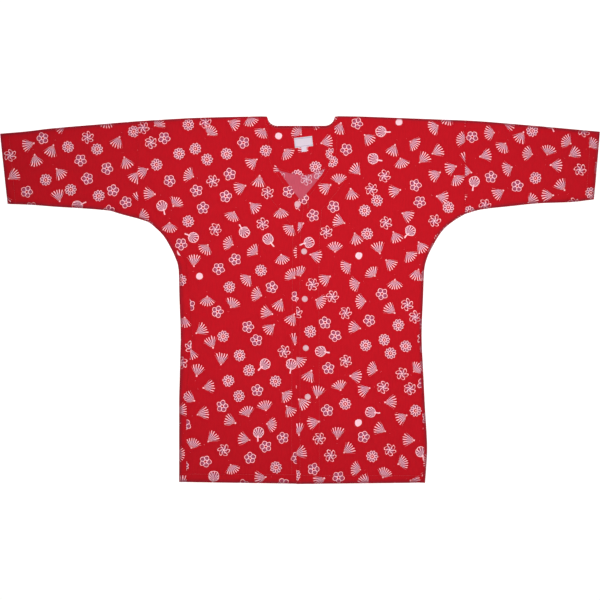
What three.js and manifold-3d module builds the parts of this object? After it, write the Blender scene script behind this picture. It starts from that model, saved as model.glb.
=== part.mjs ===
// A festival shirt with a V neck, cut-on sleeves and five buttons, laid flat.
// Millimetres, +Z up. The shirt lies on z = 0 with its neck towards +Y, and +X is the
// wearer's left. The origin is under the middle of its outline.
import * as THREE from "three";
import { mergeVertices } from "three/addons/utils/BufferGeometryUtils.js";
import Module from "manifold-3d";

// Driving dimensions.
const WALL = 1; // thickness of the cloth
const GAP = 0.3; // between pieces, at seams and where one lies on another
const FRONT_UNDER = 2 * (WALL + GAP); // height of the fronts' underside
const LOFT = 1.2; // how much further the fronts and sleeves rise off the back
const LOFT_REACH = 45; // over which the cloth rises from a fold to its full height
const TOP_EDGE = 368; // y of the highest point of the shoulders
const HEM_MIDDLE = -368; // y of the hem at the middle
const HEM_RIGHT = -364.2; // y of the hem at the right side
const HEM_LEFT = -365.8; // y of the hem at the left side
const SEAM_RIGHT = -324; // x of the seam that joins the right sleeve
const SEAM_LEFT = 330; // x of the seam that joins the left sleeve
const PLACKET = 36.6; // width in which the left front lies on the right front
const PLACKET_RAMP = 24; // over which the left front comes down beside it
const LEFT_FRONT_EDGE = -7; // x of the left front's free edge, on top
const RIGHT_FRONT_EDGE = 29; // x of the right front's free edge, underneath
const NECK_V = 200; // y of the neck's lowest point
const NECK_BACK = 348.8; // y of the back neck at its middle
const LAST = 18; // number of the section at the hem

const BACK_MIDDLE = WALL / 2; // height of the middle of the back's cloth
const FRONT_MIDDLE = FRONT_UNDER + WALL / 2;
const FOLD_RADIUS = (FRONT_MIDDLE - BACK_MIDDLE) / 2;
const FOLD_MIDDLE = BACK_MIDDLE + FOLD_RADIUS;
const FOLD_STEPS = 4;

// Each half of the body is laid out in sections 0 to LAST, which fan out from the sleeve
// seam, round the underarm, down to the hem. Sections 0 to 5 start on the shoulder seam,
// which ends at the neck. joined is 1 where the front and back are sewn together, and flat
// is how wide the cloth lies flat from its edge.
const SHOULDER = {
  right: [
    { k: 0, x: SEAM_RIGHT + GAP / 2, y: 358, joined: 1, flat: 0 },
    { k: 2, x: -198, y: 365, joined: 1, flat: 0 },
    { k: 4, x: -74, y: 367.6, joined: 1, flat: 0 },
    { k: 5, x: -66, y: 367, joined: 0, flat: 0, corner: true },
  ],
  left: [
    { k: 0, x: SEAM_LEFT - GAP / 2, y: 359.5, joined: 1, flat: 0 },
    { k: 2, x: 200, y: 364.4, joined: 1, flat: 0 },
    { k: 3, x: 110, y: 367.6, joined: 1, flat: 0 },
    { k: 4, x: 78, y: TOP_EDGE, joined: 1, flat: 0 },
    { k: 5, x: 70, y: 367, joined: 0, flat: 0, corner: true },
  ],
};
// fold is where a section meets the shirt's outline, with wrap, how far the back comes
// round it on to the front. front and back are the edges of those panels that it starts on.
const HALVES = {
  right: {
    fold: [
      { k: 0, x: SEAM_RIGHT + GAP / 2, y: 162.8, wrap: 3 },
      { k: 2, x: -303.5, y: 155.5, wrap: 3 },
      { k: 4, x: -288, y: 143.5, wrap: 3 },
      { k: 6, x: -273, y: 128, wrap: 4 },
      { k: 8, x: -261, y: 108.5, wrap: 7 },
      { k: 10, x: -250.5, y: 87, wrap: 11 },
      { k: 12, x: -243.2, y: 62, wrap: 17 },
      { k: 13, x: -241.3, y: 0, wrap: 21 },
      { k: 14, x: -239, y: -70, wrap: 23 },
      { k: 15, x: -240.4, y: -140, wrap: 18 },
      { k: 16, x: -242, y: -210, wrap: 15 },
      { k: LAST, x: -242, y: HEM_RIGHT, wrap: 15 },
    ],
    front: [
      ...SHOULDER.right,
      { k: 6, x: -60, y: 340, flat: 0 },
      { k: 7, x: -54.5, y: 282, flat: 8 },
      { k: 8, x: -42, y: 259, flat: 16 },
      { k: 10, x: 0, y: NECK_V, flat: PLACKET },
      { k: 12, x: RIGHT_FRONT_EDGE, y: 160, flat: PLACKET, corner: true },
      { k: LAST, x: RIGHT_FRONT_EDGE, y: HEM_MIDDLE, flat: PLACKET },
    ],
    back: [
      ...SHOULDER.right,
      { k: 6, x: -61, y: 356 },
      { k: 7, x: -45, y: NECK_BACK },
      { k: 8, x: 0, y: NECK_BACK, corner: true },
      { k: 12, x: 0, y: 160 },
      { k: LAST, x: 0, y: HEM_MIDDLE },
    ],
  },
  left: {
    fold: [
      { k: 0, x: SEAM_LEFT - GAP / 2, y: 171.8, wrap: 3 },
      { k: 2, x: 307, y: 157.8, wrap: 3 },
      { k: 4, x: 289.5, y: 143.5, wrap: 3 },
      { k: 6, x: 276, y: 126, wrap: 3 },
      { k: 8, x: 265.5, y: 107.5, wrap: 3.5 },
      { k: 10, x: 255.5, y: 87, wrap: 4 },
      { k: 12, x: 249, y: 62, wrap: 5 },
      { k: 13, x: 246.2, y: 0, wrap: 5 },
      { k: 14, x: 243.6, y: -70, wrap: 4 },
      { k: 15, x: 246.6, y: -140, wrap: 5 },
      { k: 16, x: 250, y: -210, wrap: 6 },
      { k: 17, x: 254.5, y: -297, wrap: 6.5 },
      { k: LAST, x: 250.5, y: HEM_LEFT, wrap: 6 },
    ],
    front: [
      ...SHOULDER.left,
      { k: 6, x: 67, y: 300, flat: 0 },
      { k: 7, x: 50.4, y: 262, flat: 8 },
      { k: 8, x: 33, y: 237, flat: 16 },
      { k: 10, x: 2, y: NECK_V, flat: PLACKET, corner: true },
      { k: 12, x: -6, y: 120, flat: PLACKET },
      { k: 13, x: LEFT_FRONT_EDGE, y: 50, flat: PLACKET },
      { k: LAST, x: LEFT_FRONT_EDGE, y: HEM_MIDDLE, flat: PLACKET },
    ],
    back: [
      ...SHOULDER.left,
      { k: 6, x: 65, y: 356 },
      { k: 7, x: 49, y: NECK_BACK },
      { k: 8, x: 0, y: NECK_BACK, corner: true },
      { k: 12, x: 0, y: 160 },
      { k: LAST, x: 0, y: HEM_MIDDLE },
    ],
  },
};
const BACK_HALVES_MEET = 8; // the first section that ends on the middle of the back

// Each sleeve runs from its seam to its open cuff, one row a section: its upper fold and
// its lower one.
const SLEEVES = {
  right: [
    { topX: SEAM_RIGHT - GAP / 2, topY: 358, lowX: SEAM_RIGHT - GAP / 2, lowY: 162.8 },
    { topX: -362, topY: 355, lowX: -360, lowY: 172.3 },
    { topX: -385, topY: 353, lowX: -383, lowY: 178.8 },
    { topX: -500, topY: 343.2, lowX: -496, lowY: 187 },
    { topX: -552, topY: 337, lowX: -542, lowY: 190.5 },
    { topX: -600, topY: 333, lowX: -585, lowY: 192 },
  ],
  left: [
    { topX: SEAM_LEFT + GAP / 2, topY: 359.5, lowX: SEAM_LEFT + GAP / 2, lowY: 171.8 },
    { topX: 364, topY: 357.5, lowX: 362, lowY: 180.8 },
    { topX: 420, topY: 353, lowX: 418, lowY: 187.3 },
    { topX: 490, topY: 347, lowX: 486, lowY: 193.8 },
    { topX: 545, topY: 342, lowX: 538, lowY: 195.5 },
    { topX: 600, topY: 337, lowX: 588, lowY: 201 },
  ],
};

const BUTTON_RADIUS = 5.75;
const BUTTON_THICKNESS = 2.2;
const BUTTON_RIM = 1.1; // width of the raised rim
const BUTTON_DISH = 0.5; // depth of the middle below the rim
const HOLE_RADIUS = 0.7;
const HOLE_PITCH = 2.4; // side of the square that the four holes make
// The first button is undone and lies on the right front, beside the left front's edge.
const BUTTONS = [
  { x: -5.2, y: 191, fastened: false },
  { x: 8.2, y: 97, fastened: true },
  { x: 9.6, y: 2, fastened: true },
  { x: 11.6, y: -96, fastened: true },
  { x: 15.4, y: -193.5, fastened: true },
];

const LABEL = { x: 7, y: 316, width: 36.4, height: 20, turn: 6.5 }; // turn in degrees
const SIZE_TAB = { width: 10.6, height: 9.4, along: -0.8 }; // hangs below the label

const CLOTH_COLOUR = 0xc91824;
const LABEL_COLOUR = 0xe6dde6;
const BUTTON_COLOUR = 0xf3e4e6;

const ease = (t) => THREE.MathUtils.smoothstep(t, 0, 1);

// The slope of a column at row j, for the stretch that starts at row i. It is the harmonic
// mean of the slopes to both sides, so that the curve never swings past a row. A column
// that a row leaves out is 0.
function slopeAt(rows, column, i, j) {
  const rise = (n) => (rows[n + 1][column] ?? 0) - (rows[n][column] ?? 0);
  const slope = (n) => rise(n) / (rows[n + 1].k - rows[n].k);
  if (rows[j].corner || j === 0 || j === rows.length - 1) return slope(i);
  const [before, after] = [slope(j - 1), slope(j)];
  return before * after <= 0 ? 0 : (2 * before * after) / (before + after);
}

// The value of a column at section k, on a smooth curve through the rows.
function columnAt(rows, column, k) {
  let i = 0;
  while (i < rows.length - 2 && rows[i + 1].k <= k) i += 1;
  const span = rows[i + 1].k - rows[i].k;
  const t = (k - rows[i].k) / span;
  const [from, to] = [rows[i][column] ?? 0, rows[i + 1][column] ?? 0];
  const bend = t * (1 - t) * span;
  return (
    from + (to - from) * t * t * (3 - 2 * t) +
    bend * ((1 - t) * slopeAt(rows, column, i, i) - t * slopeAt(rows, column, i, i + 1))
  );
}

function placeAt(rows, k) {
  return new THREE.Vector2(columnAt(rows, "x", k), columnAt(rows, "y", k));
}

// The level direction into the shirt, square to its outline. On the sleeve seam it lies
// along the seam.
function inwardAt(half, k) {
  if (k === 0) return new THREE.Vector2(0, 1);
  const step = 0.02;
  const before = placeAt(half.fold, Math.max(k - step, 0));
  const along = placeAt(half.fold, Math.min(k + step, LAST)).sub(before).normalize();
  const side = half === HALVES.right ? 1 : -1;
  return new THREE.Vector2(-along.y * side, along.x * side);
}

// A point of the cloth: the middle of its wall at a place and height, with the two faces
// half a wall to either side along a direction that leans from +Z towards a level one.
function clothPoint(place, height, level = new THREE.Vector2(), lean = 0) {
  const middle = new THREE.Vector3(place.x, place.y, height);
  const half = new THREE.Vector3(level.x * Math.sin(lean), level.y * Math.sin(lean), Math.cos(lean));
  half.multiplyScalar(WALL / 2);
  return { outer: middle.clone().add(half), inner: middle.clone().sub(half) };
}

// Points round the fold at place, whose outline runs square to inward, from the bottom
// layer up to the top one.
function foldPoints(place, inward) {
  const centre = place.clone().addScaledVector(inward, WALL / 2 + FOLD_RADIUS);
  return Array.from({ length: FOLD_STEPS + 1 }, (_, step) => {
    const turn = (Math.PI * step) / FOLD_STEPS;
    const reach = -FOLD_RADIUS * Math.sin(turn);
    const height = FOLD_MIDDLE - FOLD_RADIUS * Math.cos(turn);
    return clothPoint(centre.clone().addScaledVector(inward, reach), height, inward, Math.PI + turn);
  });
}

// Points round a seam edge at place: a quarter turn that ends just short of the other
// panel where the edge is joined, and level where it is free.
function edgePoints(place, inward, middle, joined) {
  const towards = Math.sign(FOLD_MIDDLE - middle);
  const radius = FOLD_RADIUS - GAP / 2;
  const steps = FOLD_STEPS / 2;
  return Array.from({ length: steps + 1 }, (_, step) => {
    const turn = (Math.PI / 2) * (1 - step / steps);
    const bentReach = WALL / 2 + radius * (1 - Math.sin(turn));
    const levelReach = (step / steps) * (WALL / 2 + radius);
    const reach = THREE.MathUtils.lerp(levelReach, bentReach, joined);
    const height = middle + towards * radius * (1 - Math.cos(turn)) * joined;
    const lean = towards * turn * joined;
    return clothPoint(place.clone().addScaledVector(inward, reach), height, inward, lean);
  });
}

// The height of the upper cloth's middle, at distances from its free edge and its fold.
function upperHeight(fromEdge, fromFold, flat = 0) {
  return FRONT_MIDDLE + LOFT * ease((fromEdge - flat) / LOFT_REACH) * ease(fromFold / LOFT_REACH);
}

// How far the left front is lifted by the right front that lies under it.
function placketLift(place) {
  const beside = ease((place.x - RIGHT_FRONT_EDGE - GAP) / PLACKET_RAMP);
  const above = ease((place.y - NECK_V - 5) / (2 * PLACKET_RAMP));
  return (WALL + GAP) * (1 - beside) * (1 - above);
}

// One section of a front, from its free or shoulder edge to the side seam.
function frontSection(half, k) {
  const edge = placeAt(half.front, k);
  const [joined, flat] = ["joined", "flat"].map((column) => columnAt(half.front, column, k));
  const wrap = columnAt(half.fold, "wrap", k);
  const seam = placeAt(half.fold, k).addScaledVector(inwardAt(half, k), wrap + GAP / 2);
  const length = edge.distanceTo(seam);
  const along = seam.clone().sub(edge).normalize();
  const near = [15, PLACKET, PLACKET + PLACKET_RAMP / 2, PLACKET + PLACKET_RAMP];
  const far = [length - LOFT_REACH, length - LOFT_REACH / 2, length];
  const between = [1, 2].map((n) => THREE.MathUtils.lerp(near.at(-1), far[0], n / 3));
  const lift = half === HALVES.left ? placketLift : () => 0;
  const inward = joined > 0 ? new THREE.Vector2(0, -1) : along;
  const edges = edgePoints(edge, inward, FRONT_MIDDLE + lift(edge), joined);
  const rest = [...near, ...between, ...far].map((distance) => {
    const place = edge.clone().addScaledVector(along, distance);
    return clothPoint(place, upperHeight(distance, length - distance + wrap, flat) + lift(place));
  });
  return [...edges, ...rest];
}

// One section of the back, from its middle, neck or shoulder edge, round the fold and in
// to the side seam on top.
function backSection(half, k) {
  const edge = placeAt(half.back, k);
  const joined = columnAt(half.back, "joined", k);
  const fold = placeAt(half.fold, k);
  const inward = inwardAt(half, k);
  const along = fold.clone().sub(edge).normalize();
  const edgeInward = joined > 0 ? new THREE.Vector2(0, -1) : along;
  const edges = edgePoints(edge, edgeInward, BACK_MIDDLE, joined);
  // The cloth's faces change over at the fold, so the edge takes its faces that way round.
  const turned = edges.map(({ outer, inner }) => ({ outer: inner, inner: outer }));
  const wrap = columnAt(half.fold, "wrap", k) - GAP / 2;
  const top = [(wrap + WALL / 2 + FOLD_RADIUS) / 2, wrap].map((reach) =>
    clothPoint(fold.clone().addScaledVector(inward, reach), upperHeight(LOFT_REACH, reach)),
  );
  return [...turned, ...foldPoints(fold, inward), ...top];
}

// One section of a sleeve, all the way round it.
function sleeveSection(row) {
  const top = new THREE.Vector2(row.topX, row.topY);
  const low = new THREE.Vector2(row.lowX, row.lowY);
  const length = top.distanceTo(low);
  const up = top.clone().sub(low).normalize();
  const down = up.clone().negate();
  const reaches = [LOFT_REACH / 2, LOFT_REACH, length / 2, length - LOFT_REACH, length - LOFT_REACH / 2];
  const upper = reaches.map((reach) =>
    clothPoint(low.clone().addScaledVector(up, reach), upperHeight(length - reach, reach)),
  );
  const topFold = foldPoints(top, down).reverse();
  return [...foldPoints(low, up), ...upper, ...topFold];
}

// Six times the volume that a list of triangles encloses.
function signedVolume(triangles) {
  return triangles.reduce((sum, [a, b, c]) => sum + a.dot(b.clone().cross(c)), 0);
}

// The faces of a wall through its sections, facing out. ring joins each section's last
// point to its first, and rimBefore leaves the first edge open from that section on.
function wallTriangles(sections, { ring = false, rimBefore = Infinity } = {}) {
  const triangles = [];
  const quad = (a, b, c, d) => triangles.push([a, b, c], [a, c, d]);
  const rim = (a, b) => quad(a.outer, a.inner, b.inner, b.outer);
  const count = sections[0].length;
  for (let i = 0; i < sections.length - 1; i += 1) {
    const [here, next] = [sections[i], sections[i + 1]];
    for (let j = 0; j < (ring ? count : count - 1); j += 1) {
      const on = (j + 1) % count;
      quad(here[j].outer, here[on].outer, next[on].outer, next[j].outer);
      quad(here[j].inner, next[j].inner, next[on].inner, here[on].inner);
    }
    if (!ring) rim(here[count - 1], next[count - 1]);
    if (!ring && i < rimBefore) rim(next[0], here[0]);
  }
  const [first, last] = [sections[0], sections.at(-1)];
  for (let j = 0; j < (ring ? count : count - 1); j += 1) {
    const on = (j + 1) % count;
    rim(first[j], first[on]);
    rim(last[on], last[j]);
  }
  if (signedVolume(triangles) > 0) return triangles;
  return triangles.map(([a, b, c]) => [a, c, b]);
}

function geometryOf(triangles) {
  return new THREE.BufferGeometry().setFromPoints(triangles.flat());
}

const bodySections = Array.from({ length: LAST + 1 }, (_, k) => k);

function frontGeometry(half) {
  return geometryOf(wallTriangles(bodySections.map((k) => frontSection(half, k))));
}

function backGeometry() {
  const halves = [HALVES.right, HALVES.left].map((half) =>
    wallTriangles(bodySections.map((k) => backSection(half, k)), { rimBefore: BACK_HALVES_MEET }),
  );
  return geometryOf(halves.flat());
}

function sleeveGeometry(rows) {
  return geometryOf(wallTriangles(rows.map(sleeveSection), { ring: true }));
}

// The back neck facing lies on the inside of the back, right side out. Its upper edge is
// the neck's, and its lower one is a shallow bow. Its ends lie under the fronts.
function facingGeometry() {
  const { right, left } = HALVES;
  const neck = [
    ...[5.4, 6, 6.5, 7].map((k) => placeAt(right.back, k)),
    ...[7, 6.5, 6, 5.4].map((k) => placeAt(left.back, k)),
  ];
  const shoulderInset = 4; // clear of the shoulder seam
  const shoulder = TOP_EDGE - 1 - shoulderInset;
  const bow = new THREE.SplineCurve([
    new THREE.Vector2(84, 300),
    new THREE.Vector2(66, 272),
    new THREE.Vector2(38, 258),
    new THREE.Vector2(7, 250),
    new THREE.Vector2(-30, 256),
    new THREE.Vector2(-60, 270),
    new THREE.Vector2(-80, 300),
  ]);
  const outline = [
    new THREE.Vector2(-86, shoulder),
    ...neck,
    new THREE.Vector2(90, shoulder),
    ...bow.getPoints(16),
  ];
  const plate = new THREE.ExtrudeGeometry(new THREE.Shape(outline), { depth: WALL, bevelEnabled: false });
  return plate.translate(0, 0, WALL + GAP);
}

function plateGeometry(width, height) {
  return new THREE.BoxGeometry(width, height, WALL);
}

const wasm = await Module();
wasm.setup();

function toSolid(geometry) {
  const bare = geometry.clone();
  for (const name of ["normal", "uv"]) bare.deleteAttribute(name);
  const joined = mergeVertices(bare, 1e-4);
  const vertProperties = new Float32Array(joined.attributes.position.array);
  const triVerts = new Uint32Array(joined.index.array);
  return new wasm.Manifold(new wasm.Mesh({ numProp: 3, vertProperties, triVerts }));
}

function fromSolid(solid) {
  const { vertProperties, triVerts } = solid.getMesh();
  const geometry = new THREE.BufferGeometry();
  geometry.setAttribute("position", new THREE.Float32BufferAttribute(vertProperties, 3));
  return geometry.setIndex(Array.from(triVerts));
}

// A turned button: rounded edge, raised rim, dished middle and four holes.
function buttonGeometry() {
  const rimTop = BUTTON_THICKNESS;
  const bevel = 0.5;
  const profile = [
    [0, 0],
    [BUTTON_RADIUS - bevel, 0],
    [BUTTON_RADIUS, bevel],
    [BUTTON_RADIUS, rimTop - bevel],
    [BUTTON_RADIUS - bevel, rimTop],
    [BUTTON_RADIUS - BUTTON_RIM, rimTop],
    [BUTTON_RADIUS - BUTTON_RIM - bevel, rimTop - BUTTON_DISH],
    [0, rimTop - BUTTON_DISH],
  ].map(([radius, height]) => new THREE.Vector2(radius, height));
  const disc = toSolid(new THREE.LatheGeometry(profile, 20).rotateX(Math.PI / 2));
  const spots = [-1, 1].flatMap((across) => [-1, 1].map((along) => [across, along]));
  const drilled = spots.reduce((solid, [across, along]) => {
    const drill = new THREE.CylinderGeometry(HOLE_RADIUS, HOLE_RADIUS, 3 * BUTTON_THICKNESS, 8);
    drill.rotateX(Math.PI / 2).translate((across * HOLE_PITCH) / 2, (along * HOLE_PITCH) / 2, 0);
    return solid.subtract(toSolid(drill));
  }, disc);
  return fromSolid(drilled);
}

const clothMaterial = new THREE.MeshStandardMaterial({ color: CLOTH_COLOUR, roughness: 0.85, metalness: 0 });
const labelMaterial = new THREE.MeshStandardMaterial({ color: LABEL_COLOUR, roughness: 0.6, metalness: 0 });
const buttonMaterial = new THREE.MeshStandardMaterial({ color: BUTTON_COLOUR, roughness: 0.3, metalness: 0 });

function named(name, geometry, material) {
  const mesh = new THREE.Mesh(geometry, material);
  mesh.name = name;
  return mesh;
}

const shirt = new THREE.Group();
shirt.add(
  named("back", backGeometry(), clothMaterial),
  named("front_right", frontGeometry(HALVES.right), clothMaterial),
  named("front_left", frontGeometry(HALVES.left), clothMaterial),
  named("sleeve_right", sleeveGeometry(SLEEVES.right), clothMaterial),
  named("sleeve_left", sleeveGeometry(SLEEVES.left), clothMaterial),
  named("back_neck_facing", facingGeometry(), clothMaterial),
);

// The label and the size tab under it lie on the facing, a little askew.
const labels = new THREE.Group();
labels.position.set(LABEL.x, LABEL.y, FRONT_UNDER + WALL / 2);
labels.rotation.z = THREE.MathUtils.degToRad(LABEL.turn);
const label = named("neck_label", plateGeometry(LABEL.width, LABEL.height), labelMaterial);
const sizeTab = named("size_tab", plateGeometry(SIZE_TAB.width, SIZE_TAB.height), labelMaterial);
sizeTab.position.set(SIZE_TAB.along, -(LABEL.height + SIZE_TAB.height) / 2 - GAP, 0);
labels.add(label, sizeTab);
shirt.add(labels);

BUTTONS.forEach(({ x, y, fastened }, index) => {
  const button = named(`button_${index + 1}`, buttonGeometry(), buttonMaterial);
  const layers = fastened ? 2 : 1;
  button.position.set(x, y, FRONT_UNDER + layers * (WALL + GAP));
  shirt.add(button);
});

export default shirt;
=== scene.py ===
# A festival shirt, laid flat with its front up: printed cotton, cut as a back, two fronts and two
# sleeves. Each piece is a thin shell on its solid's form. Lengths are in millimetres until a mesh
# is made, +X is the wearer's left, +Y is towards the neck, and the surface is at height 0.
import math

import bmesh
import bpy
import numpy as np
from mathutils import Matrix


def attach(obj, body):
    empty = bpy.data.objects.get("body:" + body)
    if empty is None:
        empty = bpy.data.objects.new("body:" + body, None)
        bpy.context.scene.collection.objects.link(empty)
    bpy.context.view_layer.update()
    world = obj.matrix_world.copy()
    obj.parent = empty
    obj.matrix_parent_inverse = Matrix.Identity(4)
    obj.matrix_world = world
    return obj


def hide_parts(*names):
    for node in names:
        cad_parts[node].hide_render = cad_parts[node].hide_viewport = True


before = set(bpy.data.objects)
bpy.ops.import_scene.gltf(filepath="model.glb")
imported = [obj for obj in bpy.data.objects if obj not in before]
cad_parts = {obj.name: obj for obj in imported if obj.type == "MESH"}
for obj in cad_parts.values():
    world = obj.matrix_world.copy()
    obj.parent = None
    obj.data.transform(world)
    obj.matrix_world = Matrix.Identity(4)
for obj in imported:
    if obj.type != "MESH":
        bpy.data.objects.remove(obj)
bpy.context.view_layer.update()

# ------------------------------------------------------------------------------------------ back
# One piece of printed cotton with both upper sleeves cut on. It lies with its right side down, comes
# round the side folds on to the front, and is sewn to the fronts at the shoulders and at the side
# seams, which lie on top. Its hem is turned twice to the inside and stitched.
CLOTH = 0.7  # thickness of the cloth with its nap
TURNED = 0.5  # how much thicker a turned hem is
TOP = 3.6  # height of the upper layer's right side, beside its folds
ROUND = TOP / 2  # radius of a fold, and height of a shoulder seam
LOFT = 1.2  # how much further the upper layer rises away from its edges
LOFT_REACH = 45
CLOSED = 0.03  # half the gap at a seam
SEAM_RIGHT, SEAM_LEFT = -324, 330  # x of the seams that join the sleeves
HEM_MIDDLE, HEM_RIGHT, HEM_LEFT = -368, -364.2, -365.8  # y of the hem
HEM = 18  # width of the turned hem
TURN_STITCH = 2  # from the inner end of a turned hem to its line of stitches
STITCH_DIP, STITCH_WIDTH = 0.25, 0.8  # how deep and how wide a line of stitches draws the cloth in
ALLOWANCE = 10  # width of the seam allowances, which lift the cloth beside a seam
NECK_BACK = 348.8  # y of the back neck at its middle
PLACKET = 36.6  # width in which the left front lies on the right front
LAST = 18  # number of the section at the hem
EDGE_SHADE_AT, EDGE_SHADE_WIDTH = 2.4, 2.8  # where inside the outline the painted shade of the rolled edges is deepest, and how wide it reaches
EDGE_SHADE_MOST, EDGE_SHADE_RED = 0.75, "#7c1825"  # how much of this painted shade colour the cloth takes on there
ELSEWHERE = 99  # is added to the distance from an edge that is not on the outline
SEAM_DIP, HEM_RISE, SOFT = 0.45, 0.3, 0.35  # at a seam, on a hem, and how far an edge is rounded


def headed(names, *lines):
    """The lines of a table as dicts by the names of its columns. A line may leave out its last ones."""
    return [dict(zip(names.split(), line)) for line in lines]


# Each half of the body is laid out in sections k = 0 to LAST, which fan out from the sleeve seam,
# round the underarm, down to the hem. Sections 0 to 5 start on the shoulder seam. joined is 1 where
# front and back are sewn together, flat is how wide the cloth lies flat from its edge, and wrap is
# how far the back comes round the fold.
SHOULDER = {
    "right": headed(
        "k x y joined corner",
        (0, SEAM_RIGHT + CLOSED, 358, 1),
        (2, -198, 365, 1),
        (4, -74, 367.6, 1),
        (5, -66, 367, 0, True),
    ),
    "left": headed(
        "k x y joined corner",
        (0, SEAM_LEFT - CLOSED, 359.5, 1),
        (2, 200, 364.4, 1),
        (3, 110, 367.6, 1),
        (4, 78, 368, 1),
        (5, 70, 367, 0, True),
    ),
}
RIGHT = dict(
    side=1,
    fold=headed(
        "k x y wrap",
        (0, SEAM_RIGHT + CLOSED, 162.8, 3),
        (2, -303.5, 155.5, 3),
        (4, -288, 143.5, 3),
        (6, -273, 128, 4),
        (8, -261, 108.5, 7),
        (10, -250.5, 87, 11),
        (12, -243.2, 62, 17),
        (13, -241.3, 0, 21),
        (14, -239, -70, 23),
        (15, -240.4, -140, 18),
        (16, -242, -210, 15),
        (LAST, -242, HEM_RIGHT, 15),
    ),
    back=SHOULDER["right"] + headed(
        "k x y corner",
        (6, -61, 356),
        (7, -45, NECK_BACK),
        (8, 0, NECK_BACK, True),
        (12, 0, 160),
        (LAST, 0, HEM_MIDDLE),
    ),
)
LEFT = dict(
    side=-1,
    fold=headed(
        "k x y wrap",
        (0, SEAM_LEFT - CLOSED, 171.8, 3),
        (2, 307, 157.8, 3),
        (4, 289.5, 143.5, 3),
        (6, 276, 126, 3),
        (8, 265.5, 107.5, 3.5),
        (10, 255.5, 87, 4),
        (12, 249, 62, 5),
        (13, 246.2, 0, 5),
        (14, 243.6, -70, 4),
        (15, 246.6, -140, 5),
        (16, 250, -210, 6),
        (17, 254.5, -297, 6.5),
        (LAST, 250.5, HEM_LEFT, 6),
    ),
    back=SHOULDER["left"] + headed(
        "k x y corner",
        (6, 65, 356),
        (7, 49, NECK_BACK),
        (8, 0, NECK_BACK, True),
        (12, 0, 160),
        (LAST, 0, HEM_MIDDLE),
    ),
)
SHOULDER_END = 5  # the last section that starts on the shoulder seam
BACK_HALVES_MEET = 8  # the first section that ends on the middle of the back

# The sections that are modelled are close together at the sleeve seam and at the hem.
HEM_STEPS = np.array([24, 20.5, 19.2, 18.4, 17.6, 16.8, 16, 15.2, 13.5, 11, 8, 5, 3, 1.5, 0.7, 0.25, 0])
SECTION_PITCH = 76  # mm between sections LAST - 1 and LAST
sections = np.concatenate([
    [0, 0.005, 0.014, 0.03],
    np.linspace(0.06, 4, 64)[:-1],
    np.linspace(4, 12, 81)[:-1],
    np.linspace(12, LAST - HEM_STEPS[0] / SECTION_PITCH, 124)[:-1],
    LAST - HEM_STEPS / SECTION_PITCH,
])


def ease(t):
    """0 where t is below 0, 1 where it is above 1, and 3t^2 - 2t^3 between."""
    t = np.clip(t, 0, 1)
    return t * t * (3 - 2 * t)


def band(distance, width):
    """1 within a width of an edge and 0 beyond it, with a soft step 1.6 mm wide."""
    return 1 - ease((distance - width + 0.8) / 1.6)


def groove(distance, width):
    """A soft valley of depth 1 where distance is 0: minus the bell curve of distance over width."""
    return -np.exp(-((distance / width) ** 2))


def painted_edge_shade(*distances):
    """How much painted shade the cloth takes at these distances from the shirt's outline, where the rolled
    edges turn away from the light: a bell curve of the least of them, with its top 2.4 mm inside the
    outline."""
    nearest = np.minimum.reduce(np.broadcast_arrays(*distances))
    return EDGE_SHADE_MOST * np.exp(-(((nearest - EDGE_SHADE_AT) / EDGE_SHADE_WIDTH) ** 2))


def column_at(rows, column, k):
    """The value of a column at section k, on a cubic curve through the rows. Its slope at a row is the
    harmonic mean of the slopes to both sides, or at a corner or an end that of the stretch itself."""
    at = np.array([row["k"] for row in rows], float)
    value = np.array([row.get(column, 0) for row in rows], float)
    corner = np.array([row.get("corner", False) for row in rows])
    corner[[0, -1]] = True
    slope = np.diff(value) / np.diff(at)
    product = np.maximum(slope[:-1] * slope[1:], 0)
    mean = np.zeros(len(at))
    mean[1:-1] = 2 * product / np.where(product > 0, slope[:-1] + slope[1:], 1)
    i = np.clip(np.searchsorted(at, k, side="right") - 1, 0, len(at) - 2)
    before = np.where(corner[i], slope[i], mean[i])
    after = np.where(corner[i + 1], slope[i], mean[i + 1])
    span = at[i + 1] - at[i]
    t = (k - at[i]) / span
    bend = t * (1 - t) * span * ((1 - t) * before - t * after)
    return value[i] + (value[i + 1] - value[i]) * ease(t) + bend


def place_at(rows, k, of=""):
    """The level place (x, y) at section k, from the columns whose names begin with of."""
    return np.stack([column_at(rows, of + "x", k), column_at(rows, of + "y", k)], -1)


def unit(vectors):
    """Each vector over its own length."""
    return vectors / np.linalg.norm(vectors, axis=-1, keepdims=True)


def inward_at(half, k):
    """The level direction into the shirt, square to its outline. It swings to lie along the sleeve
    seam between section 1 and section 0."""
    step = 0.02
    ahead = place_at(half["fold"], np.minimum(k + step, LAST))
    along = unit(ahead - place_at(half["fold"], np.maximum(k - step, 0)))
    square = np.stack([-along[:, 1], along[:, 0]], -1) * half["side"]
    turned = ease(k)[:, None]
    return unit(turned * square + (1 - turned) * np.array([0, 1]))


def points(place, height):
    """Places (x, y) with heights as points (x, y, z)."""
    return np.concatenate([place, np.broadcast_to(height, place.shape[:-1])[..., None]], -1)


def rounded(place, inward, turns, along):
    """Cloth bent round an edge: its right side lies on a half circle of radius ROUND, where turn 0 is
    underneath, a half is the edge itself and 1 is on top. Gives points, directions and the cut."""
    angle = np.pi * np.asarray(turns)
    reach = ROUND * (1 - np.sin(angle))
    level = inward[:, None, :]
    out = points(place[:, None] + level * reach[:, None], ROUND - ROUND * np.cos(angle))
    facing = points(-level * np.sin(angle)[:, None], -np.cos(angle))
    return out, facing, place[:, None] + level * np.asarray(along)[:, None]


def flat_cloth(place, height, up):
    """Level cloth whose right side faces up, or down where up is -1."""
    out = points(place, height)
    return out, np.broadcast_to([0, 0, up], out.shape).astype(float), place


def beside(*stretches):
    """Stretches of cloth side by side, as one grid of points, directions and cut."""
    return [np.concatenate(parts, 1) for parts in zip(*stretches)]


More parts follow.
